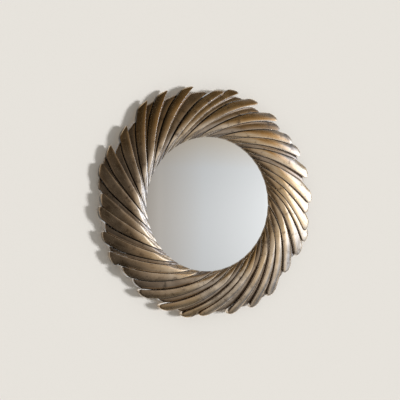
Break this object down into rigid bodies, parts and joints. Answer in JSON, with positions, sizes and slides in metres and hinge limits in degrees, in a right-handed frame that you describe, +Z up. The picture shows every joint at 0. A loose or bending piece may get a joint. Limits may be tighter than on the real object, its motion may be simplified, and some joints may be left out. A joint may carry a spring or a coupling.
{
  "type": "round convex wall mirror",
  "caption": "Round convex wall mirror in a swirling wreath of overlapping carved gilt plumes, on a flat backing disc with two swinging D-ring hangers.",
  "frame": {"origin": "centre of the backing disc's flat rear face, which lies against the wall", "axes": "+Y goes into the wall, square to the rear face; the mirror looks along -Y; +Z is up and +X is to the viewer's right as seen from the front"},
  "size_m": [1.0412, 0.0722, 1.017],
  "materials": {
    "mirror_glass": "silvered on the back, polished",
    "backing_board": "dark stained fibreboard, matt",
    "gilt_upper": "carved wood gilded with antique gold and champagne leaf, rubbed, satin",
    "gilt_lower": "carved wood gilded with antique bronze leaf, darker in the joints, satin",
    "hanger_steel": "bright zinc plated"
  },
  "bodies": {
    "mirror": {"mirror_glass": "mirror_glass", "backing_disc": "backing_board", "plume_01": "gilt_upper", "plume_02": "gilt_lower", "plume_03": "gilt_upper", "plume_04": "gilt_lower", "plume_05": "gilt_upper", "plume_06": "gilt_upper", "plume_07": "gilt_lower", "plume_08": "gilt_upper", "plume_09": "gilt_lower", "plume_10": "gilt_upper", "plume_11": "gilt_lower", "plume_12": "gilt_upper", "plume_13": "gilt_upper", "plume_14": "gilt_lower", "plume_15": "gilt_upper", "plume_16": "gilt_lower", "plume_17": "gilt_upper", "plume_18": "gilt_lower", "plume_19": "gilt_upper", "plume_20": "gilt_lower", "plume_21": "gilt_upper", "plume_22": "gilt_lower", "plume_23": "gilt_upper", "plume_24": "gilt_lower", "plume_25": "gilt_upper", "plume_26": "gilt_lower", "plume_27": "gilt_upper", "plume_28": "gilt_upper", "plume_29": "gilt_lower", "plume_30": "gilt_upper", "plume_31": "gilt_lower", "plume_32": "gilt_upper", "plume_33": "gilt_upper", "plume_34": "gilt_lower", "plume_35": "gilt_upper", "plume_36": "gilt_lower", "plume_37": "gilt_upper", "plume_38": "gilt_lower", "plume_39": "gilt_upper", "plume_40": "gilt_upper", "plume_41": "gilt_lower", "plume_42": "gilt_upper", "plume_43": "gilt_lower", "plume_44": "gilt_upper", "plume_45": "gilt_lower", "plume_46": "gilt_upper", "plume_47": "gilt_lower", "plume_48": "gilt_upper", "plume_49": "gilt_lower", "plume_50": "gilt_upper", "plume_51": "gilt_upper", "plume_52": "gilt_upper", "plume_53": "gilt_upper", "hanger_strap_left": "hanger_steel", "hanger_strap_right": "hanger_steel"},
    "ring_left": {"hanger_ring_left": "hanger_steel"},
    "ring_right": {"hanger_ring_right": "hanger_steel"}
  },
  "joints": [
    {"name": "ring_left_swing", "type": "hinge", "parent": "mirror", "child": "ring_left", "pos_m": [-0.19, -0.0058, 0.18], "axis": [1, 0, 0], "range_deg": [0, 180]},
    {"name": "ring_right_swing", "type": "hinge", "parent": "mirror", "child": "ring_right", "pos_m": [0.19, -0.0058, 0.18], "axis": [1, 0, 0], "range_deg": [0, 180]}
  ]
}
